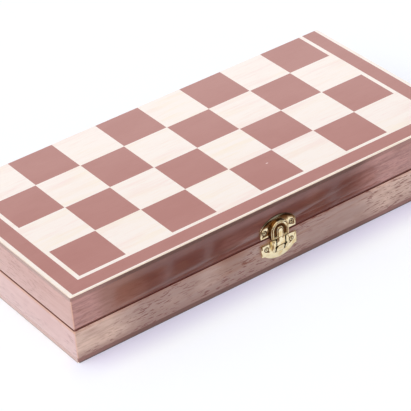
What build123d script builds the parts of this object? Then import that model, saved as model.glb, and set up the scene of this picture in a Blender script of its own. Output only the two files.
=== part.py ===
from build123d import *
import os

# Folding chess box: two equal trays hinged along their back rims and closed by a small latch.
# Millimetres. X runs along the box, Y from its front to its back, +Z up. The origin is the
# middle of the underside. Closed, the board's outer faces are the top and the underside.

os.makedirs("parts", exist_ok=True)

# Playing board, one half on each tray
square_pitch = 32.5
files_across = 8
ranks_per_half = 4
hairline = 0.3  # light wood left between one dark square and the next, corner to corner
inner_line_end = 2.7  # light line between the squares and the band, at the ends
inner_line_front = 2.4
band_width = 10.2
outer_line_end = 2.6  # light line outside the band, at the ends
outer_line_front = 1.2
rear_line = 0.2  # light wood left behind the last rank, where the halves meet
inlay_depth = 0.5

# Trays
veneer_thickness = 0.9
core_thickness = 2.5
wall_height = 19.85
wall_thickness = 8.0
parting_gap = 0.5
corner_radius = 1.2
rim_round = 0.4
veneer_round = 0.3
lining_thickness = 0.8
lining_margin = 0.4

# Hinges
hinge_spacing = 170.0
hinge_length = 25.0
knuckle_count = 5
knuckle_gap = 0.2
barrel_radius = 1.9
barrel_clearance = 0.3
leaf_thickness = 1.0
leaf_margin = 1.6  # wood left between the leaf and the inside of the tray
mortise_clearance = 0.2
back_clearance = 0.3  # space between the two back faces when the box is laid open
hinge_pin_radius = 0.8
fixed_clearance = 0.02
running_clearance = 0.05

# Hinge screws
screw_spacing = 15.0
screw_radius = 0.8
screw_head_radius = 1.6
screw_length = 9.0
screw_tip = 1.5
cross_length = 2.0
cross_width = 0.4
cross_depth = 0.5

# Latch plates, measured up from the parting plane and out from the front face
latch_width = 26.2
plate_thickness = 0.8
lid_plate_foot = 1.2
lid_plate_shoulder = 7.2
lid_plate_crown = 13.6
base_plate_head = -3.3
base_plate_shoulder = -11.4
base_plate_step_in = 2.3
base_plate_step_down = 0.5
base_plate_crown = -16.0

# Latch nails
nail_radius = 0.65
nail_length = 5.5
nail_tip = 1.2
nail_head_radius = 1.4
nail_head_height = 0.7
dimple_depth = 0.4
dimple_margin = 0.4
lid_nail_inset = 3.0
lid_nail_height = 5.0
base_nail_inset = 3.8
base_nail_height = -7.2

# Latch housing on the base plate, with the lever's pivot
pivot_height = -5.0
pivot_out = 2.4
pivot_radius = 0.55
knuckle_radius = 0.95
knuckle_half_width = 3.0
ear_width = 2.6
ear_gap = 0.6  # between an ear and the lever's knuckle, and the slits that run on below
ear_cover = 0.5  # metal left outside the ends of the pivot pin
housing_top = -1.3
housing_bend = -6.4  # where the upright face turns back towards the plate
housing_neck = -6.6  # top of the housing's middle, under the knuckle
housing_toe = -11.6
housing_toe_out = 1.4
housing_shoulder = -8.4
housing_crown = -13.0
housing_bevel = 0.6
slit_end = -11.2
slit_eye_height = -6.8
slit_eye_radius = 1.0

# Latch lever and the keeper that it closes over
lever_half_width = 6.75
lever_crown = 11.1
lever_rise = 4.4  # from the pivot to the foot of the legs, which clear the ears as they swing
lever_back = 1.0
lever_front = 3.4
lever_round = 0.9
ring_width = 2.3
groove_width = 2.3
groove_depth = 0.8
groove_rim = 1.0  # metal left below the groove
relief_start = 3.0  # from here up the lever's back stands off to pass the keeper
keeper_width = 6.0
keeper_bottom = 5.2
keeper_top = 8.6
keeper_out = 1.5
keeper_round = 0.4
keeper_clearance = 0.3

# Places worked out from the sizes
board_width = files_across * square_pitch
board_depth = ranks_per_half * square_pitch
end_margin = inner_line_end + band_width + outer_line_end
front_margin = inner_line_front + band_width + outer_line_front
length = board_width + 2 * end_margin
depth = front_margin + board_depth + rear_line
grid_left = -board_width / 2
grid_front = -depth / 2 + front_margin
panel_height = veneer_thickness + core_thickness
rim_height = panel_height + wall_height
parting_height = rim_height + parting_gap / 2
back_face = depth / 2
hinge_y = back_face + back_clearance / 2
leaf_edge = back_face - wall_thickness + leaf_margin
recess_radius = barrel_radius + barrel_clearance
screw_y = (leaf_edge + hinge_y - recess_radius) / 2
knuckle_pitch = (hinge_length + knuckle_gap) / knuckle_count
ear_inner = knuckle_half_width + ear_gap
housing_half_width = ear_inner + ear_width
housing_front = pivot_out + knuckle_radius
pin_half_length = housing_half_width - ear_cover
lever_foot = pivot_height + lever_rise
parting = Plane.XY.offset(parting_height)
latch_face = Plane(origin=(0, -depth / 2, parting_height), x_dir=(1, 0, 0), z_dir=(0, -1, 0))
FROM_LOW_CORNER = (Align.MIN, Align.MIN, Align.MIN)


# Shared shapes

def block(low, high):
    """A block between two opposite corners."""
    size = [top - bottom for bottom, top in zip(low, high)]
    return Pos(*low) * Box(*size, align=FROM_LOW_CORNER)


def rod(x_low, x_high, y, z, radius):
    """A round bar along X."""
    return Pos((x_low + x_high) / 2, y, z) * Rot(0, 90, 0) * Cylinder(radius, x_high - x_low)


def slab(bottom, thickness):
    """A layer of the tray's full outline."""
    return Pos(0, 0, bottom) * extrude(RectangleRounded(length, depth, corner_radius), thickness)


def turned(*corners):
    """A round piece about Z, from its half section as (radius, height) corners."""
    return revolve(Plane.XZ * make_face(Polyline(*corners, close=True)), Axis.Z)


def crowned(half_width, flat, shoulder, crown, step_in=0.0, step_down=0.0):
    """A plate's outline: a flat edge, two straight sides and an arc through the crown."""
    outward = 1 if crown > flat else -1
    end = half_width - step_in
    spring = shoulder + outward * step_down
    sides = [(-end, spring), (-half_width, shoulder), (-half_width, flat)]
    corners = sides + [(-x, y) for x, y in reversed(sides)]
    corners = [corner for i, corner in enumerate(corners) if corner not in corners[:i]]
    return make_face(Polyline(*corners) + ThreePointArc((end, spring), (0, crown), (-end, spring)))


def pair(distance, height):
    """Two places, at one distance to the left and right of the middle."""
    return [(-distance, height), (distance, height)]


def save(name, piece):
    """Writes one sub-part, of one solid or a list of them."""
    shape = Compound(children=list(piece)) if isinstance(piece, list) else piece
    export_step(shape, f"parts/{name}.step")


# Board panel

def panel_sheet():
    """The light sheet before it is inlaid, its outer edge softened."""
    sheet = slab(0, veneer_thickness)
    return fillet(sheet.faces().sort_by(Axis.Z)[0].outer_wire().edges(), veneer_round)


def dark_squares(first_dark):
    """The dark squares of one half, counted from the front left corner."""
    side = square_pitch - hairline
    tiles = []
    for file in range(files_across):
        for rank in range(ranks_per_half):
            if (file + rank) % 2 == first_dark:
                x = grid_left + file * square_pitch + hairline / 2
                y = grid_front + rank * square_pitch + hairline / 2
                tiles.append(block((x, y, 0), (x + side, y + side, inlay_depth)))
    return tiles


def dark_border():
    """The dark band along the front and both ends, which runs out at the back edge."""
    outer_x = length / 2 - outer_line_end
    inner_x = board_width / 2 + inner_line_end
    outer_y = -depth / 2 + outer_line_front
    band = block((-outer_x, outer_y, 0), (outer_x, back_face, inlay_depth))
    band -= block((-inner_x, outer_y + band_width, 0), (inner_x, back_face, inlay_depth))
    return panel_sheet() & band


def lining():
    """Felt glued to the tray's floor."""
    x = length / 2 - wall_thickness - lining_margin
    y = depth / 2 - wall_thickness - lining_margin
    return block((-x, -y, panel_height), (x, y, panel_height + lining_thickness))


# Side boards

def mitred_walls():
    """The four side boards, mitred at the corners and softened along the rim."""
    frame = slab(panel_height, wall_height)
    frame = fillet(frame.faces().sort_by(Axis.Z)[-1].outer_wire().edges(), rim_round)
    signs = [(-1, -1), (1, -1), (1, 1), (-1, 1)]
    outer = [(sx * length / 2, sy * depth / 2) for sx, sy in signs]
    inner = [(x - sx * wall_thickness, y - sy * wall_thickness) for (x, y), (sx, sy) in zip(outer, signs)]
    walls = {}
    for i, side in enumerate(("front", "right", "back", "left")):
        j = (i + 1) % len(signs)
        wedge = Polygon(outer[i], outer[j], inner[j], inner[i], align=None)
        walls[side] = frame & (Pos(0, 0, panel_height) * extrude(wedge, wall_height))
    return walls


# Hinges

def screw_blank(clearance=0.0):
    """A countersunk screw with its head's face at the origin, or the hole for one."""
    shank = screw_radius + clearance
    head_height = screw_head_radius - screw_radius
    corners = [(0, 0), (screw_head_radius + clearance, 0), (shank, -head_height)]
    return turned(*corners, (shank, screw_tip - screw_length), (0, -screw_length - clearance))


def hinge_screw():
    """The screw with its cross recess."""
    screw = screw_blank()
    for size in ((cross_length, cross_width), (cross_width, cross_length)):
        screw -= Box(*size, 2 * cross_depth)
    return screw


def screw_places(hinge_x):
    """Where the screws of one leaf stand on the base's rim."""
    return [Pos(hinge_x + x, y, rim_height) for x, y in pair(screw_spacing / 2, screw_y)]


def knuckle_span(hinge_x, number):
    """The two ends of one knuckle."""
    start = hinge_x - hinge_length / 2 + number * knuckle_pitch
    return start, start + knuckle_pitch - knuckle_gap


def hinge_leaf(hinge_x, first_knuckle, pin_clearance):
    """A leaf on the base's rim: it carries every second knuckle and clears the others."""
    left = hinge_x - hinge_length / 2
    right = hinge_x + hinge_length / 2
    leaf = block((left, leaf_edge, rim_height - leaf_thickness), (right, hinge_y, rim_height))
    for number in range(knuckle_count):
        start, end = knuckle_span(hinge_x, number)
        if number % 2 != first_knuckle:
            leaf -= rod(start - knuckle_gap, end + knuckle_gap, hinge_y, parting_height, recess_radius)
    for number in range(first_knuckle, knuckle_count, 2):
        leaf += rod(*knuckle_span(hinge_x, number), hinge_y, parting_height, barrel_radius)
    leaf -= rod(left, right, hinge_y, parting_height, hinge_pin_radius + pin_clearance)
    for place in screw_places(hinge_x):
        leaf -= place * screw_blank(fixed_clearance)
    return leaf


def hinge_pin(hinge_x):
    """The pin through all knuckles, as long as the barrel."""
    half = hinge_length / 2
    return rod(hinge_x - half, hinge_x + half, hinge_y, parting_height, hinge_pin_radius)


def hinge_seat(hinge_x):
    """What is cut from a back wall for one hinge: mortise, barrel recess and screw holes."""
    half = hinge_length / 2 + mortise_clearance
    low = (hinge_x - half, leaf_edge - mortise_clearance, rim_height - leaf_thickness)
    seat = block(low, (hinge_x + half, hinge_y, parting_height))
    seat += rod(hinge_x - half, hinge_x + half, hinge_y, parting_height, recess_radius)
    for place in screw_places(hinge_x):
        seat += place * screw_blank(fixed_clearance)
    return seat


# Latch, built as (x, up from the parting plane, out from the front face)

def nail_shank(clearance=0.0):
    """The nail below its head, or the hole for it."""
    radius = nail_radius + clearance
    return turned((0, 0), (radius, 0), (radius, nail_tip - nail_length), (0, -nail_length - clearance))


def nail():
    """A round-headed nail with the underside of its head at the origin."""
    dome_radius = (nail_head_radius**2 + nail_head_height**2) / (2 * nail_head_height)
    dome = Pos(0, 0, nail_head_height - dome_radius) * Sphere(dome_radius)
    cap = Cylinder(nail_head_radius, nail_head_height, align=(Align.CENTER, Align.CENTER, Align.MIN))
    return (dome & cap) + nail_shank()


def nail_places(inset, height):
    """Where the heads of a plate's nails seat, at one inset from its sides."""
    return [Pos(x, y, plate_thickness - dimple_depth) for x, y in pair(latch_width / 2 - inset, height)]


def nailed_plate(outline, places):
    """A flat plate with a dimple and a hole for each nail."""
    plate = extrude(outline, plate_thickness)
    for place in places:
        plate -= place * Cylinder(nail_head_radius + dimple_margin, 2 * dimple_depth)
        plate -= place * nail_shank(fixed_clearance)
    return plate


def keeper():
    """The raised pad on the lid's plate that the lever closes over."""
    half = keeper_width / 2
    pad = block((-half, keeper_bottom, 0), (half, keeper_top, keeper_out))
    return fillet(pad.faces().sort_by(Axis.Z)[-1].edges(), keeper_round)


def latch_housing():
    """The raised column of the base plate: two ears for the pivot, a slit by each, a sloped toe."""
    side_view = Polyline(
        (housing_top, 0), (housing_top, housing_front - housing_bevel),
        (housing_top - housing_bevel, housing_front), (housing_bend, housing_front),
        (housing_toe, housing_toe_out), (housing_crown, 0), close=True)
    plan = [(housing_half_width, 0), (housing_half_width, housing_front - housing_bevel),
            (housing_half_width - housing_bevel, housing_front)]
    top_view = Polyline(*plan, *[(-x, out) for x, out in reversed(plan)], close=True)
    column = extrude(Plane.YZ * make_face(side_view), housing_half_width, both=True)
    column &= extrude(Plane.XZ * make_face(top_view), -housing_crown, both=True)
    column &= extrude(crowned(housing_half_width, housing_top, housing_shoulder, housing_crown), housing_front)
    column -= block((-ear_inner, housing_neck, plate_thickness), (ear_inner, housing_top, housing_front))
    for side in (-1, 1):
        near, far = sorted((side * knuckle_half_width, side * ear_inner))
        column -= block((near, slit_end, 0), (far, housing_neck, housing_front))
        eye = Cylinder(slit_eye_radius, 2 * housing_front)
        column -= Pos((near + far) / 2, slit_eye_height, plate_thickness + housing_front) * eye
    return column


def latch_base_plate():
    """Base plate and housing in one piece, bored for the pivot pin."""
    outline = crowned(latch_width / 2, base_plate_head, base_plate_shoulder, base_plate_crown,
                      base_plate_step_in, base_plate_step_down)
    plate = nailed_plate(outline, nail_places(base_nail_inset, base_nail_height)) + latch_housing()
    return plate - rod(-pin_half_length, pin_half_length, pivot_height, pivot_out, pivot_radius + fixed_clearance)


def latch_lid_plate():
    """Lid plate and keeper in one piece."""
    outline = crowned(latch_width / 2, lid_plate_foot, lid_plate_shoulder, lid_plate_crown)
    return nailed_plate(outline, nail_places(lid_nail_inset, lid_nail_height)) + keeper()


def arch(half_width, foot, crown):
    """Straight legs under a half-round top."""
    return crowned(half_width, foot, crown - half_width, crown)


def latch_lever():
    """The lever: a horseshoe ring round a pad, a knuckle below, set back behind for the keeper."""
    lever = Pos(0, 0, lever_back) * extrude(
        arch(lever_half_width, lever_foot, lever_crown), lever_front - lever_back)
    lever = fillet(lever.faces().sort_by(Axis.Z)[-1].edges().sort_by(Axis.Y)[1:], lever_round)
    ring_inside = lever_half_width - ring_width
    pad_half_width = ring_inside - groove_width
    groove_foot = lever_foot + groove_rim
    groove = extrude(arch(ring_inside, groove_foot, lever_crown - ring_width), lever_front)
    groove -= extrude(arch(pad_half_width, groove_foot, lever_crown - ring_width - groove_width), lever_front)
    lever -= Pos(0, 0, lever_front - groove_depth) * groove
    lever += block((-knuckle_half_width, pivot_height, pivot_out - knuckle_radius),
                   (knuckle_half_width, lever_foot, housing_front))
    lever += rod(-knuckle_half_width, knuckle_half_width, pivot_height, pivot_out, knuckle_radius)
    relief_out = keeper_out + keeper_clearance
    relief = Polyline(
        (relief_start, 0), (relief_start, lever_back), (keeper_bottom - keeper_clearance, relief_out),
        (lever_crown, relief_out), (lever_crown, 0), close=True)
    lever -= extrude(Plane.YZ * make_face(relief), lever_half_width, both=True)
    bore = pivot_radius + running_clearance
    return lever - rod(-knuckle_half_width, knuckle_half_width, pivot_height, pivot_out, bore)


# Assembly

def on_latch_face(piece):
    """Stands a latch piece on the front face."""
    return latch_face * piece


def as_lid(piece):
    """A base piece turned over about the parting plane."""
    return mirror(piece, about=parting)


hinges = {"left": -hinge_spacing / 2, "right": hinge_spacing / 2}
walls = mitred_walls()
for hinge_x in hinges.values():
    walls["back"] -= hinge_seat(hinge_x)
lid_walls = {side: as_lid(wall) for side, wall in walls.items()}
base_nails = nail_places(base_nail_inset, base_nail_height)
lid_nails = nail_places(lid_nail_inset, lid_nail_height)
for place in base_nails:
    walls["front"] -= on_latch_face(place * nail_shank(fixed_clearance))
for place in lid_nails:
    lid_walls["front"] -= on_latch_face(place * nail_shank(fixed_clearance))

for side in walls:
    save(f"base_{side}_wall", walls[side])
    save(f"lid_{side}_wall", lid_walls[side])

# The base's squares start light at the front left corner, so that they alternate across the fold
band = dark_border()
for half, first_dark, placed in (("base", 1, lambda piece: piece), ("lid", 0, as_lid)):
    tiles = dark_squares(first_dark)
    save(f"{half}_dark_squares", [placed(tile) for tile in tiles])
    save(f"{half}_dark_border", placed(band))
    save(f"{half}_veneer", placed(panel_sheet() - tiles - band))
    save(f"{half}_panel_core", placed(slab(veneer_thickness, core_thickness)))
    save(f"{half}_lining", placed(lining()))
    screws = [place * hinge_screw() for hinge_x in hinges.values() for place in screw_places(hinge_x)]
    save(f"{half}_hinge_screws", [placed(screw) for screw in screws])

for side, hinge_x in hinges.items():
    save(f"base_hinge_leaf_{side}", hinge_leaf(hinge_x, 0, fixed_clearance))
    save(f"lid_hinge_leaf_{side}", as_lid(hinge_leaf(hinge_x, 1, running_clearance)))
    save(f"hinge_pin_{side}", hinge_pin(hinge_x))

save("latch_base_plate", on_latch_face(latch_base_plate()))
save("latch_base_nails", [on_latch_face(place * nail()) for place in base_nails])
save("latch_lid_plate", on_latch_face(latch_lid_plate()))
save("latch_lid_nails", [on_latch_face(place * nail()) for place in lid_nails])
save("latch_lever", on_latch_face(latch_lever()))
pivot_pin = rod(-pin_half_length, pin_half_length, pivot_height, pivot_out, pivot_radius)
save("latch_pivot_pin", on_latch_face(pivot_pin))
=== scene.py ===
"""A folding chess box: two wooden trays hinged at the back, a board inlaid outside, a brass latch.

Metres, in the frame of the CAD model: X along the box, Y from front to back, Z up. Sizes that are
written in millimetres are turned into metres where they are used. Turns are in degrees, and shares
run from 0 to 1. The limits of a stretch are given in order: where it starts, where it is full, where
it stops being full, and where it ends.
"""

import math

import bmesh
import bpy
from mathutils import Matrix, Vector, noise


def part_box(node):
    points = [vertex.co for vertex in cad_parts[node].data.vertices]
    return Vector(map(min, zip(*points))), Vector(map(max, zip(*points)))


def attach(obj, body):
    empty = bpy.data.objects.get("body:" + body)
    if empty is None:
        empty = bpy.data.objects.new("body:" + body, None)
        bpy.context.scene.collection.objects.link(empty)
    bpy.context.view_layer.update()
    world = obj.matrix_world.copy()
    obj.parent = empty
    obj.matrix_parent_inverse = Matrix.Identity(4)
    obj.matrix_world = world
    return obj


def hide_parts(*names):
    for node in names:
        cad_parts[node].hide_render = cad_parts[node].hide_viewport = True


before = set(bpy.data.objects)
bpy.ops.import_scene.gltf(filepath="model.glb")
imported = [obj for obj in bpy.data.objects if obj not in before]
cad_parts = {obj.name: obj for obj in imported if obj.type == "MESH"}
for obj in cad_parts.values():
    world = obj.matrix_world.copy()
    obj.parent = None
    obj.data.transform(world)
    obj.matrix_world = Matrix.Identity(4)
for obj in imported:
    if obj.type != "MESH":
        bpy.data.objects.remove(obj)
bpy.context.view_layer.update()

MM = 0.001
X, Y, Z = 0, 1, 2
HALVES = ("base", "lid")
SIDES = ("front", "back", "left", "right")

FRONT_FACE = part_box("base_front_wall")[0].y
PARTING = (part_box("base_front_wall")[1].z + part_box("lid_front_wall")[0].z) / 2

# Camera, fitted to the board's corners
CAMERA_PLACE = (-0.65094, -0.98709, 0.79234)
CAMERA_RIGHT = Vector((0.8062693, -0.5871475, -0.0720258))
CAMERA_UP = Vector((0.3747215, 0.4127246, 0.8302061))
CAMERA_BACK = Vector((-0.4577266, -0.6963593, 0.5527840))
CAMERA_LENS = 199.87
CAMERA_SENSOR = 36
CAMERA_REACH = (0.05, 50.0)

# Eased edges, in millimetres
WOOD_EASE = 0.12
LEAF_EASE = 0.12
PLATE_EASE = 0.10
KNUCKLE_EASE = 0.12

# Latch lever, in millimetres up from the parting plane and out from the front face
LEVER_HALF_WIDTH = 6.75
LEVER_FOOT = -0.6
LEVER_LIP = 0.3
LEVER_CROWN = 11.1
LEVER_BACK = 1.0
LEVER_TURN_IN = 0.2
LEVER_METAL = 0.45
LEVER_LEG_STEPS = 4
LEVER_ARC_STEPS = 20
GROOVE_FOOT = 0.4
GROOVE_FOOT_EASE = 0.15
GROOVE_EDGES = (2.2, 4.8)
# Deeper than this the lever's brass is painted brown: a painted dark reflection on its flanks and in its
# groove
LEVER_DARK_FROM = 3.15
RIM_OUT = 3.3
PIVOT_UP = -5.0
PIVOT_OUT = 2.4
TONGUE_ROOT = 0.5
TONGUE_NECK = -0.4
TONGUE_ROOT_FRONT = -0.08
TONGUE_ROOT_BACK = -0.1
KNUCKLE_RADIUS = 0.95
KNUCKLE_DROP = 1.55
KNUCKLE_FULLNESS = 0.75
KNUCKLE_BORE = 0.6
KNUCKLE_HALF_WIDTH = 3.0
KNUCKLE_STEPS = 12
KNUCKLE_STEP_TURN = 20

# Slits of the latch's housing, in millimetres, and the eye at the side of each, painted dark as painted shade
SLIT_PLACE = 3.3
SLIT_ACROSS = (-0.60, -0.42, 0.42, 0.60)
SLIT_HEIGHTS = (-11.4, -11.2, -1.3, -1.2)
SLIT_EYE_UP = -6.8
SLIT_EYE_OUT = 3.1
SLIT_EYE_BRIGHT = 1.35
SLIT_EYE_DARK = 1.10

# Arc of the latch's lid plate, in millimetres up from the parting plane, and the painted dark reflection
# along its top
LID_ARC_CENTRE = -3.0
LID_ARC_RADIUS = 16.6
RIM_BRIGHT = 2.2
RIM_DARK = 0.8
RIM_HEIGHTS = (8.5, 10.0, 16.0, 17.0)
RIM_REFLECTION_SHARE = 0.8

# Nails and screws, in millimetres
NAIL_HEAD_RADIUS = 1.4
NAIL_HEAD_HEIGHT = 0.7
NAIL_DIMPLE = ((0, 0.42), (0.35, 0.40), (0.52, 0.12))
NAIL_ROUNDNESS = 0.8
NAIL_CROWN_STEPS = 8
NAIL_CROWN_FROM = 3
NAIL_RIM = 0.06
NAIL_UNDERCUT = 0.05
NAIL_SEAT_OUT = 0.4
NAIL_SHANK_RADIUS = 0.6
NAIL_SHANK_LENGTH = 2.0
# Each nail's dimple and the ring round its head are painted dark, as painted shade
NAIL_DIMPLE_BRIGHT = 0.60
NAIL_DIMPLE_DARK = 0.45
NAIL_RING = (1.20, 1.35, 1.55, 1.85)
NAIL_SHADE_SHARE = 0.85
SCREW_HEAD_RADIUS = 1.6
SCREW_HEAD_FLAT = 1.5
SCREW_HEAD_EDGE = 0.08
SCREW_HEAD_DEPTH = 0.8
SCREW_SHANK_RADIUS = 0.8
SCREW_LENGTH = 8.5
SCREW_POINT = 1.5
SCREW_SPACING = 15.0
RECESS_SPAN = 2.0
RECESS_WIDTH = 0.42
RECESS_HEIGHT = 0.9
HINGE_SPACING = 170.0

# Felt: steps of its mesh, waves to the metre, and how far it sinks in them and at its edge, in millimetres
FELT_STEPS_X = 120
FELT_STEPS_Y = 56
FELT_WAVES = 38
FELT_WAVE_DEPTH = 0.10
FELT_EDGE_DROP = 0.45


# Colours and node trees

def tone(red, green, blue):
    """A colour as the eye reads it, 0 to 255, in linear light."""
    def linear(value):
        value /= 255
        return value / 12.92 if value <= 0.04045 else ((value + 0.055) / 1.055) ** 2.4
    return (linear(red), linear(green), linear(blue), 1.0)


def node(tree, kind, sockets=None, **settings):
    """A node with its settings made and its sockets filled or joined."""
    made = tree.nodes.new(kind)
    for name, value in settings.items():
        setattr(made, name, value)
    for name, value in (sockets or {}).items():
        if isinstance(value, bpy.types.NodeSocket):
            tree.links.new(value, made.inputs[name])
        else:
            made.inputs[name].default_value = value
    return made


def calc(tree, kind, first, second):
    """Two numbers through one Math node."""
    return node(tree, "ShaderNodeMath", {0: first, 1: second}, operation=kind).outputs[0]


def product(tree, first, *others):
    """Numbers multiplied together."""
    for other in others:
        first = calc(tree, "MULTIPLY", first, other)
    return first


def coordinate(tree, place, axis):
    """One coordinate of a place."""
    return node(tree, "ShaderNodeSeparateXYZ", {0: place}).outputs[axis]


def distance(tree, place, centre):
    """How far a place is from a centre."""
    return node(tree, "ShaderNodeVectorMath", {0: place, 1: centre}, operation="DISTANCE").outputs["Value"]


def flattened(tree, place):
    """A place pressed flat onto the plane Y = 0, as the front is drawn."""
    return node(tree, "ShaderNodeVectorMath", {0: place, 1: (1, 0, 1)}, operation="MULTIPLY").outputs[0]


def span(tree, value, low, high, floor=0.0, top=1.0):
    """A value eased from floor to top between two limits."""
    sockets = {"Value": value, "From Min": low, "From Max": high, "To Min": floor, "To Max": top}
    return node(tree, "ShaderNodeMapRange", sockets, interpolation_type="SMOOTHSTEP").outputs[0]


def band(tree, value, start, full, full_end, end):
    """1 where a value is between full and full_end, eased to 0 at start and end."""
    return calc(tree, "MINIMUM", span(tree, value, start, full), span(tree, value, end, full_end))


def between(tree, place, axis, limits):
    """1 in a stretch along one axis, eased to 0 at its start and end."""
    return band(tree, coordinate(tree, place, axis), *limits)


def limits_from(origin, limits):
    """Limits in millimetres from an origin in metres, as metres."""
    return [origin + limit * MM for limit in limits]


def mixed(tree, share, first, second, way="MIX"):
    """Two colours mixed."""
    made = node(tree, "ShaderNodeMix", data_type="RGBA", blend_type=way)
    for index, value in ((0, share), (6, first), (7, second)):
        if isinstance(value, bpy.types.NodeSocket):
            tree.links.new(value, made.inputs[index])
        else:
            made.inputs[index].default_value = value
    return made.outputs[2]


def speckle(tree, place, scale, detail, **more):
    """Even noise, in features to the metre."""
    sockets = {"Vector": place, "Scale": scale, "Detail": detail, **more}
    return node(tree, "ShaderNodeTexNoise", sockets).outputs["Fac"]


def drawn_out(tree, place, axis, along, across, seed, detail=3.0, rough=0.55):
    """Noise drawn out along one axis, in features to the metre."""
    scale = [across] * 3
    scale[axis] = along
    mapped = node(tree, "ShaderNodeMapping", {
        "Vector": place, "Location": (seed * 3.1, seed * 1.7, seed * 2.3), "Scale": scale})
    return speckle(tree, mapped.outputs[0], 1.0, detail, Roughness=rough)


def new_finish(name, **shader_values):
    """A material with its plain shader numbers set: (material, tree, shader, object coordinates)."""
    material = bpy.data.materials.new(name)
    material.use_nodes = True
    tree = material.node_tree
    shader = tree.nodes["Principled BSDF"]
    for socket, value in shader_values.items():
        shader.inputs[socket.replace("_", " ")].default_value = value
    return material, tree, shader, node(tree, "ShaderNodeTexCoord").outputs["Object"]


def painted(tree, shader, colour):
    """The shader with its base colour joined."""
    tree.links.new(colour, shader.inputs["Base Color"])


def relief(tree, shader, height, depth, strength=1.0):
    """Height noise as bump, with its depth in metres."""
    bump = node(tree, "ShaderNodeBump", {"Height": height, "Distance": depth, "Strength": strength})
    tree.links.new(bump.outputs[0], shader.inputs["Normal"])


# Finishes

# Skins of the outer faces that cut colours, painted highlights and painted shade go into, in metres, and the
# share of a skin that takes them fully
SKIN = 0.0006
ARRIS = 0.0008
SHEET_CUT = 0.0002
CORE_SIDE = 0.0010
SKIN_FULL = 0.4
# Painted highlight along the corners' arrises
ARRIS_HIGHLIGHT = tone(240, 190, 158)
WARM = tone(140, 84, 58)
PORE = tone(120, 50, 30)
# Painted shade of the wood behind the latch housing, seen through its slits
SHADE_UNDER_LATCH = tone(34, 20, 12)
# Painted shade in the latch's slits and round its nails, and a painted dark reflection on the lid plate's rim
PAINTED_DARK_BRASS = tone(34, 18, 8)
# Painted dark reflection on the lever's flanks and in its groove
BRASS_DARK_REFLECTION = tone(104, 66, 28)

# Stretches along the boards and up them, in metres
# The front boards and the cores' sides are painted darker over these middle stretches, as painted shade
LID_SHADED_STRETCH = (-0.134, -0.090, 0.045, 0.090)
BASE_SHADED_STRETCH = (-0.128, -0.092, 0.060, 0.090)
CORE_SHADED_STRETCH = (-0.142, -0.100, 0.060, 0.082)
BROWN_PATCH = (-0.134, -0.121, -0.112, -0.082)
# Painted shade at the foot of the base's front and back boards
FOOT_SHADE_HEIGHTS = (-0.001, 0.0, 0.0036, 0.0090)
UNDER_LATCH_X = (-0.0040, -0.0038, 0.0038, 0.0040)
UNDER_LATCH_Z = limits_from(PARTING, (-11.8, -11.6, -2.0, -1.6))

# Tones of the boards, each as pale, deep and streak
LID_TONES = (tone(187, 131, 121), tone(112, 58, 47), tone(102, 48, 38))
BASE_TONES = (tone(226, 190, 170), tone(169, 133, 120), tone(164, 120, 102))
LID_END_TONES = (tone(208, 164, 153), tone(197, 151, 140), tone(188, 136, 124))
BASE_END_TONES = (tone(220, 180, 173), tone(208, 165, 158), tone(197, 150, 142))
# Tone of the painted shade at the foot of the base boards
BASE_FOOT_SHADE = tone(150, 100, 88)
WOOD_SEEDS = {"lid": 10, "base": 40}

# Along the parting: the painted highlight's tint, the painted shade line's tone and the line's limits, in
# millimetres
PARTING_HIGHLIGHT_LIMITS = (-3.0, -2.0, -1.0, -0.8)
FRONT_EDGE = (tone(252, 240, 232), tone(104, 32, 16), (-0.85, -0.5, 0.6, 1.1))
END_EDGE = (tone(255, 240, 212), tone(112, 54, 32), (-1.1, -0.7, 0.1, 0.6))

# Glue line of a panel's core, in millimetres up from the face that is glued
GLUE_LIMITS = (-0.7, -0.3, 0.0, 0.4)

# The one nick in a dark square: its place, its turn in degrees, and how many would fit in a metre each way
NICK_PLACE = (0.0212, -0.0360, 0.047)
NICK_TURN = -40
NICK_FINENESS = (1000, 2400, 400)
NICK_TONE = tone(250, 228, 222)


def past_faces(tree, place, axis, depth):
    """1 in the skin of the two outer faces across one axis, to a depth in metres."""
    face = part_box("base_veneer")[1][axis]
    off = node(tree, "ShaderNodeMath", {0: coordinate(tree, place, axis)}, operation="ABSOLUTE").outputs[0]
    return span(tree, off, face - depth, face - depth * SKIN_FULL)


def outer_skin(tree, place):
    """1 in the skin of the box's four sides."""
    return calc(tree, "MAXIMUM", past_faces(tree, place, X, SKIN), past_faces(tree, place, Y, SKIN))


def lit_and_shaded_edges(tree, shader, place, colour, edge):
    """A board's colour, with painted highlight on the corners and under the parting and painted shade along
    it.

    The shade line has no lacquer."""
    highlight_tint, shade_tone, shade_limits = edge
    skin = outer_skin(tree, place)
    # Painted highlight on the corners' arrises
    arris_highlight = product(tree, past_faces(tree, place, X, ARRIS), past_faces(tree, place, Y, ARRIS), 0.5)
    colour = mixed(tree, arris_highlight, colour, ARRIS_HIGHLIGHT)
    # Painted highlight tint just below the parting
    glow = product(tree, between(tree, place, Z, limits_from(PARTING, PARTING_HIGHLIGHT_LIMITS)), skin)
    colour = mixed(tree, glow, colour, highlight_tint, "MULTIPLY")
    # Painted shade line along the parting, without lacquer
    line = product(tree, between(tree, place, Z, limits_from(PARTING, shade_limits)), skin)
    tree.links.new(calc(tree, "SUBTRACT", 1.0, line), shader.inputs["Coat Weight"])
    return mixed(tree, line, colour, shade_tone)


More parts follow.
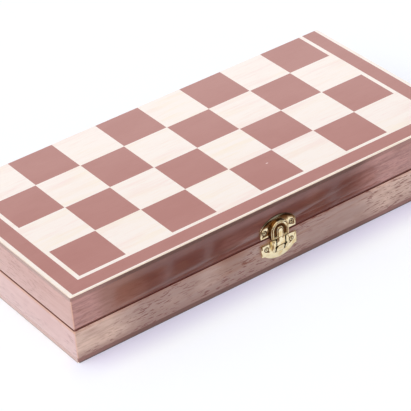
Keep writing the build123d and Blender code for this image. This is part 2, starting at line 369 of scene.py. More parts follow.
def board_wood(name, grain, tones, seed, fibre_share, pore_share, edge, shaded_stretch=None, patch=None, foot=None):
    """Lacquered side board: broad bands, cross figure, brown clouds, fine fibres and short dark pores.

    grain is the axis that the fibres follow, and tones are the pale, deep and streak colours. edge is
    what lit_and_shaded_edges takes, shaded_stretch is the stretch of a front board painted darker as painted
    shade, patch a brown stretch, and foot is the tone of the painted shade at a board's foot."""
    pale, deep, streak = tones
    material, tree, shader, place = new_finish(
        name, Roughness=0.5, Coat_Roughness=0.2, Coat_IOR=1.6, Specular_IOR_Level=0.3)

    broad = drawn_out(tree, place, grain, along=9, across=130, seed=seed)
    broad = span(tree, broad, 0.36, 0.66)
    figure = drawn_out(tree, place, grain, along=38, across=9, seed=seed + 3, detail=1.0)
    figure = span(tree, figure, 0.34, 0.68, top=0.30)
    fibre = drawn_out(tree, place, grain, along=85, across=700, seed=seed + 7, detail=4.0, rough=0.65)
    fibre = span(tree, fibre, 0.42, 0.68, top=fibre_share)
    # A front board is painted darker over its middle stretch, as painted shade
    if shaded_stretch:
        share = calc(tree, "ADD", product(tree, broad, 0.25), between(tree, place, grain, shaded_stretch))
    else:
        share = product(tree, broad, 0.55)
    share = calc(tree, "SUBTRACT", share, figure)
    share = node(tree, "ShaderNodeClamp", {"Value": share}).outputs[0]
    colour = mixed(tree, share, pale, deep)
    colour = mixed(tree, fibre, colour, streak)

    cloud = drawn_out(tree, place, grain, along=60, across=150, seed=seed + 17, detail=2.0)
    cloud = span(tree, cloud, 0.46, 0.70, top=0.5 * fibre_share)
    if patch:
        cloud = calc(tree, "MAXIMUM", cloud, product(tree, between(tree, place, grain, patch), 0.6))
    colour = mixed(tree, cloud, colour, WARM)
    # The base's front and back boards are painted darker towards their foot, as painted shade
    if foot:
        low = product(tree, between(tree, place, Z, FOOT_SHADE_HEIGHTS), 0.55)
        colour = mixed(tree, low, colour, foot)

    dash = drawn_out(tree, place, grain, along=190, across=1200, seed=seed + 11, detail=2.0, rough=0.5)
    where = drawn_out(tree, place, grain, along=22, across=60, seed=seed + 13, detail=2.0)
    pores = product(tree, span(tree, dash, 0.55, 0.64), span(tree, where, 0.38, 0.58), pore_share)
    colour = mixed(tree, pores, colour, PORE)

    colour = lit_and_shaded_edges(tree, shader, place, colour, edge)
    # The wood behind the latch housing is painted near black, as painted shade seen through the slits
    if shaded_stretch:
        across = between(tree, place, X, UNDER_LATCH_X)
        behind = product(tree, across, between(tree, place, Z, UNDER_LATCH_Z), outer_skin(tree, place))
        colour = mixed(tree, behind, colour, SHADE_UNDER_LATCH)
    painted(tree, shader, colour)
    relief(tree, shader, calc(tree, "SUBTRACT", product(tree, fibre, 0.5), pores), 0.04 * MM, 0.6)
    return material


def side_wood(half, side, seed):
    """The wood of one side board: its grain runs along the box in front and behind, across at the ends."""
    name = f"{half}_{side}_wood"
    if side in ("left", "right"):
        tones = LID_END_TONES if half == "lid" else BASE_END_TONES
        return board_wood(name, Y, tones, seed, fibre_share=0.2, pore_share=0.3, edge=END_EDGE)
    front = side == "front"
    if half == "lid":
        return board_wood(name, X, LID_TONES, seed, fibre_share=0.45, pore_share=0.35, edge=FRONT_EDGE,
                          shaded_stretch=LID_SHADED_STRETCH if front else None, patch=BROWN_PATCH if front else None)
    return board_wood(name, X, BASE_TONES, seed, fibre_share=0.45, pore_share=0.85, edge=FRONT_EDGE,
                      shaded_stretch=BASE_SHADED_STRETCH if front else None, foot=BASE_FOOT_SHADE)


def maple_sheet(name, end_cut, front_cut):
    """Pale sheet of the board, with faint pink and straw streaks along the box.

    end_cut and front_cut are the colours of the sheet's cut edges, at its ends and along its front and back."""
    material, tree, shader, place = new_finish(
        name, Roughness=0.42, Coat_Weight=1.0, Coat_Roughness=0.08, Specular_IOR_Level=0.4)
    cream, pink, straw = tone(254, 244, 233), tone(249, 222, 212), tone(252, 237, 212)
    broad = drawn_out(tree, place, X, along=18, across=190, seed=2)
    broad = span(tree, broad, 0.44, 0.70, top=0.5)
    tint = drawn_out(tree, place, X, along=14, across=30, seed=5)
    tint = span(tree, tint, 0.40, 0.60)
    fine = drawn_out(tree, place, X, along=45, across=800, seed=8, detail=4.0, rough=0.7)
    fine = span(tree, fine, 0.50, 0.70, top=0.6)
    streak = mixed(tree, tint, pink, straw)
    colour = mixed(tree, broad, cream, streak)
    colour = mixed(tree, fine, colour, streak)
    for axis, cut in ((X, end_cut), (Y, front_cut)):
        colour = mixed(tree, past_faces(tree, place, axis, SHEET_CUT), colour, cut)
    painted(tree, shader, colour)
    relief(tree, shader, fine, 0.02 * MM, 0.5)
    return material


def brown_stain():
    """Matt rosy brown of the dark squares and the band, with hardly any grain and one pale nick."""
    material, tree, shader, place = new_finish(
        "brown_stain", Roughness=0.4, Specular_IOR_Level=0.4, Coat_Weight=1.0, Coat_Roughness=0.08)
    plain, lighter, darker = tone(182, 125, 115), tone(185, 129, 119), tone(174, 115, 105)
    cloud = drawn_out(tree, place, X, along=25, across=60, seed=4)
    fine = drawn_out(tree, place, X, along=120, across=1500, seed=9, detail=3.0)
    fine = span(tree, fine, 0.52, 0.72, top=0.35)
    colour = mixed(tree, span(tree, cloud, 0.35, 0.65), plain, lighter)
    colour = mixed(tree, fine, colour, darker)
    offset = node(tree, "ShaderNodeVectorMath", {0: place, 1: NICK_PLACE}, operation="SUBTRACT").outputs[0]
    turned = node(tree, "ShaderNodeMapping", {
        "Vector": offset, "Rotation": (0, 0, math.radians(NICK_TURN)), "Scale": NICK_FINENESS})
    nick = span(tree, distance(tree, turned.outputs[0], (0, 0, 0)), 1.1, 0.6)
    painted(tree, shader, mixed(tree, nick, colour, NICK_TONE))
    relief(tree, shader, fine, 0.02 * MM, 0.4)
    return material


def core_board(name, grey, beige, brown, deep, glued_face):
    """Cut edge of a panel's core: pressed fibre in thin layers, grey at the ends, browner along the sides,
    their middle darker as painted shade.
    """
    material, tree, shader, place = new_finish(name, Roughness=0.6, Coat_Weight=0.3, Coat_Roughness=0.35)
    layer = node(tree, "ShaderNodeMapping", {"Vector": place, "Scale": (30, 30, 900)}).outputs[0]
    layers = speckle(tree, layer, 1.0, 3.0)
    specks = speckle(tree, place, 1500.0, 2.0)
    ends = mixed(tree, span(tree, layers, 0.4, 0.62), grey, beige)
    # Along the sides the middle stretch is painted darker, as painted shade
    sides = mixed(tree, between(tree, place, X, CORE_SHADED_STRETCH), brown, deep)
    colour = mixed(tree, past_faces(tree, place, Y, CORE_SIDE), ends, sides)
    colour = mixed(tree, span(tree, specks, 0.56, 0.72, top=0.5), colour, deep)
    glue = product(tree, between(tree, place, Z, limits_from(glued_face, GLUE_LIMITS)), 0.3)
    painted(tree, shader, mixed(tree, glue, colour, deep))
    relief(tree, shader, specks, 0.05 * MM, 0.5)
    return material


def slit_shade(tree, place):
    """1 in the housing's two slits and their eyes, where the brass is painted dark as painted shade."""
    heights = limits_from(PARTING, SLIT_HEIGHTS)
    darkening = 0.0
    for centre in (-SLIT_PLACE, SLIT_PLACE):
        across = between(tree, place, X, limits_from(centre * MM, SLIT_ACROSS))
        slit = product(tree, across, between(tree, place, Z, heights))
        away = distance(tree, place, on_front(centre, SLIT_EYE_UP, SLIT_EYE_OUT))
        eye = span(tree, away, SLIT_EYE_BRIGHT * MM, SLIT_EYE_DARK * MM)
        darkening = calc(tree, "MAXIMUM", calc(tree, "MAXIMUM", slit, eye), darkening)
    return darkening


def nail_shade(tree, place):
    """How dark each nail's dimple and the ring round its head are painted, as painted shade."""
    flat = flattened(tree, place)
    darkening = 0.0
    for half in HALVES:
        low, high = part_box(f"latch_{half}_nails")
        for across in (low.x + NAIL_HEAD_RADIUS * MM, high.x - NAIL_HEAD_RADIUS * MM):
            away = distance(tree, flat, (across, 0, (low.z + high.z) / 2))
            dimple = span(tree, away, NAIL_DIMPLE_BRIGHT * MM, NAIL_DIMPLE_DARK * MM)
            ring = band(tree, away, *limits_from(0, NAIL_RING))
            darkening = calc(tree, "MAXIMUM", calc(tree, "MAXIMUM", dimple, ring), darkening)
    return product(tree, darkening, NAIL_SHADE_SHARE)


def rim_dark_reflection(tree, place):
    """How dark the top of the lid plate's rim is painted, as a painted dark reflection."""
    away = distance(tree, flattened(tree, place), (0, 0, PARTING + LID_ARC_CENTRE * MM))
    rim = span(tree, away, (LID_ARC_RADIUS - RIM_BRIGHT) * MM, (LID_ARC_RADIUS - RIM_DARK) * MM)
    return product(tree, rim, between(tree, place, Z, limits_from(PARTING, RIM_HEIGHTS)), RIM_REFLECTION_SHARE)


def brass_plating(name, dark_from=None, darkenings=()):
    """Bright brass plating, slightly uneven, with hair-fine scratches.

    Deeper than dark_from, in millimetres out from the front face, the plating is painted brown and made
    rougher, as a painted dark reflection. darkenings say where it is painted dark: painted shade in slits and
    round nails, a dark reflection on the rim."""
    material, tree, shader, place = new_finish(name, Metallic=1.0)
    bright, dull = tone(249, 236, 198), tone(234, 208, 152)
    cloud = speckle(tree, place, 260.0, 3.0)
    colour = mixed(tree, span(tree, cloud, 0.42, 0.7), bright, dull)
    rough = span(tree, cloud, 0.35, 0.7, floor=0.07, top=0.16)
    # The flanks and the groove are painted brown, as a painted dark reflection
    if dark_from:
        rim = FRONT_FACE - dark_from * MM
        darkened = span(tree, coordinate(tree, place, Y), rim, rim + 0.5 * MM)
        colour = mixed(tree, darkened, colour, BRASS_DARK_REFLECTION)
        rough = calc(tree, "ADD", rough, product(tree, darkened, 0.12))
    # Painted shade and painted dark reflection where the functions given say
    for darkening in darkenings:
        colour = mixed(tree, darkening(tree, place), colour, PAINTED_DARK_BRASS)
    painted(tree, shader, colour)
    tree.links.new(rough, shader.inputs["Roughness"])
    scratches = drawn_out(tree, place, X, along=300, across=5000, seed=3, detail=2.0)
    relief(tree, shader, scratches, 0.004 * MM, 0.4)
    return material


def pin_steel():
    """Plain drawn steel of the hinge pins and the pivot."""
    material, tree, shader, place = new_finish("pin_steel", Metallic=1.0)
    cloud = speckle(tree, place, 700.0, 2.0)
    painted(tree, shader, mixed(tree, cloud, tone(150, 148, 146), tone(196, 194, 190)))
    tree.links.new(span(tree, cloud, 0.3, 0.7, floor=0.25, top=0.4), shader.inputs["Roughness"])
    return material


def green_felt():
    """Pressed wool felt: matted fibres in two greens."""
    material, tree, shader, place = new_finish(
        "green_felt", Roughness=0.95, Specular_IOR_Level=0.15, Sheen_Weight=0.15, Sheen_Roughness=0.6)
    matted = speckle(tree, place, 2600.0, 4.0, Roughness=0.7, Distortion=1.6)
    cloud = speckle(tree, place, 45.0, 3.0)
    colour = mixed(tree, span(tree, matted, 0.35, 0.65), tone(22, 66, 46), tone(52, 108, 78))
    colour = mixed(tree, span(tree, cloud, 0.35, 0.7, top=0.35), colour, tone(18, 56, 40))
    painted(tree, shader, colour)
    relief(tree, shader, matted, 0.18 * MM, 0.7)
    return material


# Mesh helpers

def linked(name, data):
    """A new object in the scene."""
    made = bpy.data.objects.new(name, data)
    bpy.context.scene.collection.objects.link(made)
    return made


def piece(name, mesh, finish, body, slot, *nodes):
    """A finished mesh as a named piece: its finish, its body and the CAD nodes it stands for; slot is not
    used.
    """
    made = linked(name, mesh)
    mesh.materials.clear()
    mesh.materials.append(finish)
    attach(made, body)
    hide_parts(*nodes)
    return made


def to_mesh(bm, name):
    """The bmesh as a mesh, with its faces turned outwards."""
    bmesh.ops.remove_doubles(bm, verts=bm.verts, dist=1e-7)
    bmesh.ops.recalc_face_normals(bm, faces=bm.faces)
    mesh = bpy.data.meshes.new(name)
    bm.to_mesh(mesh)
    bm.free()
    return mesh


def smooth(mesh, angle=35):
    """Smooth shading, with edges sharper than the angle left crisp."""
    mesh.shade_smooth()
    mesh.set_sharp_from_angle(angle=math.radians(angle))
    return mesh


def applied(mesh, *modifiers):
    """The mesh after its modifiers, each given as (type, settings)."""
    temporary = linked("in_work", mesh)
    for number, (kind, settings) in enumerate(modifiers):
        modifier = temporary.modifiers.new(f"step_{number}", kind)
        for name, value in settings.items():
            setattr(modifier, name, value)
    graph = bpy.context.evaluated_depsgraph_get()
    result = bpy.data.meshes.new_from_object(temporary.evaluated_get(graph))
    bpy.data.objects.remove(temporary)
    return result


def softened(cad_name, ease):
    """A CAD node's mesh copied, with its edges eased by so many millimetres and its curves smooth."""
    bm = bmesh.new()
    bm.from_mesh(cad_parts[cad_name].data)
    bmesh.ops.remove_doubles(bm, verts=bm.verts, dist=1e-6)
    bmesh.ops.dissolve_limit(bm, angle_limit=math.radians(0.5), verts=bm.verts, edges=bm.edges)
    mesh = bpy.data.meshes.new(cad_name + "_eased")
    bm.to_mesh(mesh)
    bm.free()
    bevel = {"width": ease * MM, "segments": 2, "limit_method": "ANGLE",
             "angle_limit": math.radians(30), "harden_normals": False, "use_clamp_overlap": True}
    return smooth(applied(mesh, ("BEVEL", bevel)))


def lathe(profile, steps=32):
    """A turned shape about Z from (radius, height) points in millimetres, from one pole to the other."""
    bm = bmesh.new()
    turn = [2 * math.pi * step / steps for step in range(steps)]
    rings = []
    for radius, height in profile:
        reach, up = radius * MM, height * MM
        if reach == 0:
            rings.append([bm.verts.new((0, 0, up))])
        else:
            rings.append([bm.verts.new((reach * math.cos(a), reach * math.sin(a), up)) for a in turn])
    for lower, upper in zip(rings, rings[1:]):
        for step in range(steps):
            after = (step + 1) % steps
            corners = [lower[step % len(lower)], lower[after % len(lower)],
                       upper[after % len(upper)], upper[step % len(upper)]]
            corners = [corner for i, corner in enumerate(corners) if corner not in corners[:i]]
            bm.faces.new(corners)
    return to_mesh(bm, "turned")


def sheet_faces(bm, rows):
    """A face between every four neighbours in rows of vertices."""
    for first, second in zip(rows, rows[1:]):
        for a, b, c, d in zip(first, first[1:], second[1:], second):
            bm.faces.new((a, b, c, d))


def on_front(across, up, out):
    """A latch point in millimetres, stood on the box's front face."""
    return Vector((across * MM, FRONT_FACE - out * MM, PARTING + up * MM))


# Geometry Nodes

def rows_tree():
    """Sets out copies of one piece along X: Rows groups of Count copies, around Middle."""
    tree = bpy.data.node_groups.new("rows_of_fasteners", "GeometryNodeTree")
    tree.interface.new_socket("Geometry", in_out="OUTPUT", socket_type="NodeSocketGeometry")
    for name, kind in (("Piece", "Object"), ("Finish", "Material"), ("Middle", "Vector"), ("Rows", "Int"),
                       ("Row Spacing", "Float"), ("Count", "Int"), ("Spacing", "Float")):
        tree.interface.new_socket(name, in_out="INPUT", socket_type="NodeSocket" + kind)
    given = node(tree, "NodeGroupInput").outputs

    def line(count, spacing):
        start = product(tree, calc(tree, "SUBTRACT", count, 1.0), spacing, -0.5)
        start = node(tree, "ShaderNodeCombineXYZ", {"X": start}).outputs[0]
        offset = node(tree, "ShaderNodeCombineXYZ", {"X": spacing}).outputs[0]
        return node(tree, "GeometryNodeMeshLine", {
            "Count": count, "Start Location": start, "Offset": offset}).outputs[0]

    copy = node(tree, "GeometryNodeObjectInfo", {"Object": given["Piece"], "As Instance": True})
    inner = node(tree, "GeometryNodeInstanceOnPoints", {
        "Points": line(given["Count"], given["Spacing"]), "Instance": copy.outputs["Geometry"]})
    outer = node(tree, "GeometryNodeInstanceOnPoints", {
        "Points": line(given["Rows"], given["Row Spacing"]), "Instance": inner.outputs[0]})
    placed = node(tree, "GeometryNodeTransform", {
        "Geometry": outer.outputs[0], "Translation": given["Middle"]})
    real = node(tree, "GeometryNodeRealizeInstances", {"Geometry": placed.outputs[0]})
    dressed = node(tree, "GeometryNodeSetMaterial", {
        "Geometry": real.outputs[0], "Material": given["Finish"]})
    node(tree, "NodeGroupOutput", {0: dressed.outputs[0]})
    return tree


def grown(tree, **inputs):
    """The plain mesh that a tree makes with these inputs."""
    holder = linked("in_work", bpy.data.meshes.new("in_work"))
    modifier = holder.modifiers.new("rows", "NODES")
    modifier.node_group = tree
    for item in tree.interface.items_tree:
        key = item.name.replace(" ", "_")
        if item.in_out == "INPUT" and key in inputs:
            modifier[item.identifier] = inputs[key]
    graph = bpy.context.evaluated_depsgraph_get()
    result = bpy.data.meshes.new_from_object(holder.evaluated_get(graph))
    holder.modifiers.remove(modifier)
    bpy.data.objects.remove(holder)
    return result


# Latch

# Across the lever's front from its outer edge to its middle, in millimetres: (distance in, height out)
LEVER_SECTION = (
    (0.0, LEVER_BACK), (0.0, 1.2), (0.0, 2.1), (0.12, 2.75), (0.45, 3.2), (1.0, 3.38), (1.5, 3.36),
    (1.95, 3.18), (2.3, 2.85), (2.65, 2.62), (3.4, 2.56), (4.1, 2.62), (4.4, 2.85), (4.65, 3.15),
    (5.0, 3.34), (5.6, 3.38), (6.2, 3.38))


def lever_shell():
    """The pressed lever: a horseshoe rib round a raised pad, open at the back."""
    spring = LEVER_CROWN - LEVER_HALF_WIDTH
    heights = [LEVER_FOOT, LEVER_FOOT + LEVER_LIP,
               GROOVE_FOOT - GROOVE_FOOT_EASE, GROOVE_FOOT + GROOVE_FOOT_EASE]
    heights += [GROOVE_FOOT + step * (spring - GROOVE_FOOT) / LEVER_LEG_STEPS
                for step in range(1, LEVER_LEG_STEPS)]
    stations = [("left", up) for up in heights]
    stations += [("arc", math.pi * step / LEVER_ARC_STEPS) for step in range(LEVER_ARC_STEPS + 1)]
    stations += [("right", up) for up in reversed(heights)]

    def point(inset, out, station):
        reach = LEVER_HALF_WIDTH - inset
        kind, value = station
        if kind != "arc" and value < GROOVE_FOOT and GROOVE_EDGES[0] < inset < GROOVE_EDGES[1]:
            out = RIM_OUT
        if kind == "left":
            return on_front(-reach, value, out)
        if kind == "right":
            return on_front(reach, value, out)
        return on_front(-reach * math.cos(value), spring + reach * math.sin(value), out)

    def row(station, furthest_out=math.inf):
        return [bm.verts.new(point(inset, min(out, furthest_out), station)) for inset, out in LEVER_SECTION]

    bm = bmesh.new()
    front = [row(station) for station in stations]
    foot_ends = [row(station, LEVER_BACK + LEVER_TURN_IN) for station in (stations[0], stations[-1])]
    sheet_faces(bm, [foot_ends[0], *front, foot_ends[1]])
    # The pad's middle, closed between the two innermost lines
    inner = [line[-1] for line in front]
    top = len(inner) // 2
    for i in range(top - 1):
        bm.faces.new((inner[i], inner[i + 1], inner[-i - 2], inner[-i - 1]))
    bm.faces.new(inner[top - 1:top + 2])
    bm.faces.new((foot_ends[0][-1], inner[0], inner[-1], foot_ends[1][-1]))
    mesh = to_mesh(bm, "lever_shell")
    # Faces must point away from the box before the wall is given its thickness
    facing = sum(polygon.normal.y * polygon.area for polygon in mesh.polygons)
    if facing > 0:
        mesh.flip_normals()
    return applied(
        mesh, ("SOLIDIFY", {"thickness": LEVER_METAL * MM, "offset": -1.0, "use_even_offset": True}),
        ("SUBSURF", {"levels": 2, "render_levels": 2}))


def lever_knuckle():
    """The tongue under the pad, curled round the pivot pin."""
    root, neck = LEVER_FOOT + TONGUE_ROOT, LEVER_FOOT + TONGUE_NECK
    face, back = PIVOT_OUT + KNUCKLE_RADIUS, PIVOT_OUT + KNUCKLE_BORE
    outer = [(root, face + TONGUE_ROOT_FRONT), (neck, face)]
    inner = [(root, back + TONGUE_ROOT_BACK), (neck, back)]

    def fuller(share):
        return math.copysign(abs(share) ** KNUCKLE_FULLNESS, share)

    for step in range(KNUCKLE_STEPS + 1):
        turn = math.radians(90 - KNUCKLE_STEP_TURN * step)
        down, out = math.cos(turn), math.sin(turn)
        outer.append((PIVOT_UP - KNUCKLE_DROP * fuller(down), PIVOT_OUT + KNUCKLE_RADIUS * fuller(out)))
        inner.append((PIVOT_UP - KNUCKLE_BORE * down, PIVOT_OUT + KNUCKLE_BORE * out))
    section = outer + inner[::-1]
    bm = bmesh.new()
    near = [bm.verts.new(on_front(-KNUCKLE_HALF_WIDTH, up, out)) for up, out in section]
    far = [bm.verts.new(on_front(KNUCKLE_HALF_WIDTH, up, out)) for up, out in section]
    bm.faces.new(near)
    bm.faces.new(far[::-1])
    for i, (a, b) in enumerate(zip(near, far)):
        after = (i + 1) % len(near)
        bm.faces.new((a, near[after], far[after], b))
    mesh = to_mesh(bm, "lever_knuckle")
    return applied(mesh, ("BEVEL", {"width": KNUCKLE_EASE * MM, "segments": 2, "limit_method": "ANGLE",
                                    "angle_limit": math.radians(40)}))


def joined(name, *meshes):
    """Several meshes as one."""
    bm = bmesh.new()
    for mesh in meshes:
        bm.from_mesh(mesh)
    result = bpy.data.meshes.new(name)
    bm.to_mesh(result)
    bm.free()
    return result


# Fasteners

def nail_head():
    """A round dimpled nail head and the start of its shank, standing out of the front face."""
    profile = [(radius, NAIL_HEAD_HEIGHT - depth) for radius, depth in NAIL_DIMPLE]
    for step in range(NAIL_CROWN_FROM, NAIL_CROWN_STEPS):
        angle = math.pi / 2 * step / NAIL_CROWN_STEPS
        height = NAIL_HEAD_HEIGHT * math.cos(angle) ** NAIL_ROUNDNESS
        profile.append((NAIL_HEAD_RADIUS * math.sin(angle), height))
    profile += [(NAIL_HEAD_RADIUS, NAIL_RIM), (NAIL_HEAD_RADIUS - NAIL_UNDERCUT, 0.0),
                (NAIL_SHANK_RADIUS, 0.0), (NAIL_SHANK_RADIUS, -NAIL_SHANK_LENGTH), (0, -NAIL_SHANK_LENGTH)]
    mesh = lathe(profile)
    mesh.transform(Matrix.Rotation(math.radians(90), 4, "X"))
    return smooth(mesh, 50)


def screw_head(direction):
    """A countersunk screw with a cross recess, its head up or down."""
    profile = [(0, 0.0), (SCREW_HEAD_FLAT, 0.0), (SCREW_HEAD_RADIUS, -SCREW_HEAD_EDGE),
               (SCREW_SHANK_RADIUS, -SCREW_HEAD_DEPTH), (SCREW_SHANK_RADIUS, -SCREW_LENGTH + SCREW_POINT),
               (0, -SCREW_LENGTH)]
    screw = lathe(profile)
    bm = bmesh.new()
    for size in ((RECESS_SPAN, RECESS_WIDTH, RECESS_HEIGHT), (RECESS_WIDTH, RECESS_SPAN, RECESS_HEIGHT)):
        bmesh.ops.create_cube(bm, size=MM, matrix=Matrix.Diagonal((*size, 1)))
    cross = bpy.data.meshes.new("cross")
    bm.to_mesh(cross)
    bm.free()
    cutter = linked("cross", cross)
    screw = applied(screw, ("BOOLEAN", {"object": cutter, "operation": "DIFFERENCE", "use_self": True}))
    bpy.data.objects.remove(cutter)
    if direction < 0:
        screw.transform(Matrix.Rotation(math.pi, 4, "X"))
    return smooth(screw, 30)


def set_out(name, mesh, finish, half, cad_name, **rows):
    """One half's copies of a small part, set out by the tree's named inputs."""
    source = linked("source", mesh)
    copies = grown(fastener_rows, Piece=source, Finish=finish, **rows)
    bpy.data.objects.remove(source)
    piece(name, copies, finish, half, "brass", cad_name)


# Felt

def felt_sheet(half, finish):
    """Felt laid on a tray's floor: slightly uneven on top, with soft edges."""
    cad_node = f"{half}_lining"
    low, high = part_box(cad_node)
    inside = 1 if half == "base" else -1
    glued, shown = (low.z, high.z) if inside > 0 else (high.z, low.z)
    bm = bmesh.new()
    columns = []
    for i in range(FELT_STEPS_X + 1):
        x = low.x + (high.x - low.x) * i / FELT_STEPS_X
        column = []
        for j in range(FELT_STEPS_Y + 1):
            y = low.y + (high.y - low.y) * j / FELT_STEPS_Y
            edge = min(x - low.x, high.x - x, y - low.y, high.y - y)
            wave = noise.noise(Vector((x * FELT_WAVES, y * FELT_WAVES, inside * 5.0)))
            drop = (wave * FELT_WAVE_DEPTH + FELT_WAVE_DEPTH if edge > 0 else FELT_EDGE_DROP) * MM
            column.append(bm.verts.new((x, y, shown - inside * drop)))
        columns.append(column)
    sheet_faces(bm, columns)
    rim = [edge for edge in bm.edges if edge.is_boundary]
    skirt = bmesh.ops.extrude_edge_only(bm, edges=rim)["geom"]
    for vert in skirt:
        if isinstance(vert, bmesh.types.BMVert):
            vert.co.z = glued
    bottom = [edge for edge in bm.edges if edge.is_boundary]
    bmesh.ops.contextual_create(bm, geom=bottom)
    mesh = to_mesh(bm, f"{half}_felt")
    made = piece(f"{half}_felt", smooth(mesh, 60), finish, half, "felt", cad_node)


# Dressing the box

def refinished(cad_name, finish):
    """A CAD node that keeps its shape and takes a finish."""
    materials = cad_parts[cad_name].data.materials
    materials.clear()
    materials.append(finish)


maple = {
    "base": maple_sheet("base_maple_sheet", end_cut=tone(180, 150, 136), front_cut=tone(98, 70, 66)),
    "lid": maple_sheet("lid_maple_sheet", end_cut=tone(224, 199, 176), front_cut=tone(255, 235, 210)),
}
stain = brown_stain()
core = {
    "base": core_board("base_core_board", grey=tone(218, 188, 182), beige=tone(210, 178, 168),
                       brown=tone(150, 106, 98), deep=tone(122, 82, 72),
                       glued_face=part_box("base_panel_core")[0].z),
    "lid": core_board("lid_core_board", grey=tone(192, 160, 150), beige=tone(180, 144, 132),
                      brown=tone(168, 120, 110), deep=tone(108, 70, 58),
                      glued_face=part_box("lid_panel_core")[1].z),
}
brass = brass_plating("brass_plate")
plate_brass = brass_plating("latch_plate_brass", darkenings=(slit_shade, nail_shade, rim_dark_reflection))
lever_brass = brass_plating("lever_brass", dark_from=LEVER_DARK_FROM)
steel = pin_steel()
felt = green_felt()

for number, side in enumerate(SIDES):
    for half in HALVES:
        wall = f"{half}_{side}_wall"
        wood = side_wood(half, side, WOOD_SEEDS[half] + 5 * number)
        piece(f"{half}_{side}_board", softened(wall, WOOD_EASE), wood, half, f"{half}_wood", wall)

for half in HALVES:
    refinished(f"{half}_veneer", maple[half])
    refinished(f"{half}_dark_squares", stain)
    refinished(f"{half}_dark_border", stain)
    refinished(f"{half}_panel_core", core[half])
    felt_sheet(half, felt)
    for side in ("left", "right"):
        leaf = f"{half}_hinge_leaf_{side}"
        piece(f"{half}_{side}_hinge", softened(leaf, LEAF_EASE), brass, half, "brass", leaf)

for pin in ("hinge_pin_left", "hinge_pin_right", "latch_pivot_pin"):
    refinished(pin, steel)

fastener_rows = rows_tree()
for half in HALVES:
    screws = f"{half}_hinge_screws"
    low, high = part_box(screws)
    head_side, head_height = (1, high.z) if half == "base" else (-1, low.z)
    set_out(f"{half}_screws", screw_head(head_side), brass, half, screws,
            Middle=(0, (low.y + high.y) / 2, head_height), Rows=2, Row_Spacing=HINGE_SPACING * MM,
            Count=2, Spacing=SCREW_SPACING * MM)
    nails = f"latch_{half}_nails"
    low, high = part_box(nails)
    set_out(f"{half}_latch_nails", nail_head(), plate_brass, half, nails,
            Middle=(0, FRONT_FACE - NAIL_SEAT_OUT * MM, (low.z + high.z) / 2), Rows=1, Row_Spacing=0.0,
            Count=2, Spacing=high.x - low.x - 2 * NAIL_HEAD_RADIUS * MM)

for half in HALVES:
    plate = f"latch_{half}_plate"
    piece(f"{half}_latch_plate", softened(plate, PLATE_EASE), plate_brass, half, "brass", plate)
lever = joined("lever", lever_shell(), lever_knuckle())
piece("lever", smooth(lever, 50), lever_brass, "latch_lever", "brass", "latch_lever")


# Studio

FLOOR_WHITE = (0.87, 0.90, 0.92, 1)
# Painted lavender shadow before the box's front, seen by the camera alone
FLOOR_PAINTED_SHADOW = (0.73, 0.72, 0.87, 1)
FLOOR_SHADOW_X = (-0.160, -0.130, 0.130, 0.160)
FLOOR_SHADOW_Y = (-0.096, -0.074, -0.070, -0.060)
FLOOR_GLOW = 0.09
FLOOR_SIZE = 8.0

WHITE = (1, 1, 1, 1)
EVEN_LIGHT = (0.50, 0.51, 0.57, 1)
CEILING = (0.22, 0.22, 0.24, 1)
BACKDROP_TILT = (0.0, -0.356, 1.0)
BACKDROP_TOP = (0.25, 0.31)
PANEL_LIGHT = (1, 0.97, 0.92, 1)
PANEL_Y = (-1.1, -1.0, -0.65, -0.5)
PANEL_Z = (0.36, 0.42, 0.62, 0.70)

# Each card's left and right edge, its bottom and how far its foot reaches towards the box
DARK_CARDS = ((-0.102, -0.065, 0.001, 0.002), (-0.060, -0.036, 0.001, 0.002), (-0.030, -0.008, 0.001, 0.020),
              (-0.008, 0.012, 0.001, 0.002), (0.012, 0.024, 0.008, 0.0), (0.024, 0.063, 0.001, 0.006),
              (0.069, 0.100, 0.001, 0.002))
CARD_PLACE = -0.103
CARD_TOP = 0.026
CARD_FOOT_COLOUR = (0.36, 0.26, 0.20, 1)
CARD_COLOUR = (0.22, 0.10, 0.045, 1)
CARD_FADE = (0.004, 0.010)


def pale_floor():
    """A pale floor that keeps the box's shadow and reads white, with a lavender shadow painted before the box
    for the camera.
    """
    bm = bmesh.new()
    bmesh.ops.create_grid(bm, x_segments=1, y_segments=1, size=FLOOR_SIZE)
    mesh = to_mesh(bm, "floor")
    made = linked("floor", mesh)
    material, tree, shader, place = new_finish("floor_paper", Roughness=0.9, Specular_IOR_Level=0.1)
    path = node(tree, "ShaderNodeLightPath").outputs
    # A lavender shadow painted before the box's front, for camera rays alone
    near = product(tree, between(tree, place, Y, FLOOR_SHADOW_Y), between(tree, place, X, FLOOR_SHADOW_X),
                   path["Is Camera Ray"])
    painted(tree, shader, mixed(tree, near, FLOOR_WHITE, FLOOR_PAINTED_SHADOW))
    seen = calc(tree, "MAXIMUM", path["Is Camera Ray"], path["Is Glossy Ray"])
    glow = node(tree, "ShaderNodeEmission", {"Color": WHITE, "Strength": product(tree, seen, FLOOR_GLOW)})
    both = node(tree, "ShaderNodeAddShader", {0: shader.outputs[0], 1: glow.outputs[0]})
    tree.links.new(both.outputs[0], tree.nodes["Material Output"].inputs["Surface"])
    mesh.materials.append(material)


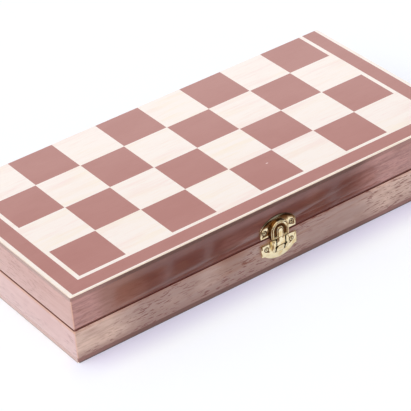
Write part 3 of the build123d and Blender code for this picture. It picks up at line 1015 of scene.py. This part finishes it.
def studio_world():
    """Cool even light from all round; gloss mirrors a white backdrop, tilted, and a grey ceiling."""
    made = bpy.data.worlds.new("studio")
    bpy.context.scene.world = made
    made.use_nodes = True
    tree = made.node_tree
    path = node(tree, "ShaderNodeLightPath").outputs
    way = node(tree, "ShaderNodeTexCoord").outputs["Generated"]
    height = node(tree, "ShaderNodeVectorMath", {0: way, 1: BACKDROP_TILT}, operation="DOT_PRODUCT")
    mirrored = mixed(tree, span(tree, height.outputs["Value"], *BACKDROP_TOP), WHITE, CEILING)
    panel = product(tree, between(tree, way, Z, PANEL_Z), between(tree, way, Y, PANEL_Y))
    mirrored = mixed(tree, panel, mirrored, PANEL_LIGHT)
    colour = mixed(tree, path["Is Glossy Ray"], EVEN_LIGHT, mirrored)
    colour = mixed(tree, path["Is Camera Ray"], colour, WHITE)
    background = tree.nodes["Background"]
    tree.links.new(colour, background.inputs["Color"])
    background.inputs["Strength"].default_value = 1.0


def dark_card(name, x_low, x_high, bottom, foot):
    """A dark card with a foot, stood in front of the box for the metal and lacquer alone to mirror."""
    bm = bmesh.new()
    outline = [(CARD_PLACE, bottom), (CARD_PLACE, CARD_TOP)]
    if foot:
        outline.insert(0, (CARD_PLACE + foot, bottom))
    sheet_faces(bm, [[bm.verts.new((x, *corner)) for corner in outline] for x in (x_low, x_high)])
    mesh = to_mesh(bm, name)
    made = linked(name, mesh)
    material, tree, shader, place = new_finish(name, Roughness=0.8, Specular_IOR_Level=0.1)
    fade = span(tree, coordinate(tree, place, Z), *CARD_FADE)
    painted(tree, shader, mixed(tree, fade, CARD_FOOT_COLOUR, CARD_COLOUR))
    mesh.materials.append(material)
    made.visible_camera = made.visible_shadow = made.visible_transmission = made.visible_diffuse = False


def lamp(name, toward, strength, angle, colour):
    """A soft distant lamp, shining from the direction given."""
    data = bpy.data.lights.new(name, "SUN")
    data.energy = strength
    data.angle = math.radians(angle)
    data.color = colour
    made = linked(name, data)
    made.matrix_world = Vector(toward).to_track_quat("Z", "Y").to_matrix().to_4x4()


def camera():
    """The camera, with its axes written out because it leans a little to one side."""
    data = bpy.data.cameras.new("camera")
    data.sensor_width = CAMERA_SENSOR
    data.lens = CAMERA_LENS
    data.clip_start, data.clip_end = CAMERA_REACH
    made = linked("camera", data)
    turn = Matrix((CAMERA_RIGHT, CAMERA_UP, CAMERA_BACK)).transposed()
    made.matrix_world = Matrix.Translation(CAMERA_PLACE) @ turn.to_4x4()
    bpy.context.scene.camera = made


pale_floor()
studio_world()
for number, card in enumerate(DARK_CARDS):
    dark_card(f"dark_card_{number}", *card)
lamp("key", toward=(-0.30, -0.10, 0.55), strength=2.0, angle=75, colour=(1.0, 0.97, 0.94))
camera()
bpy.context.scene.view_settings.view_transform = "Standard"
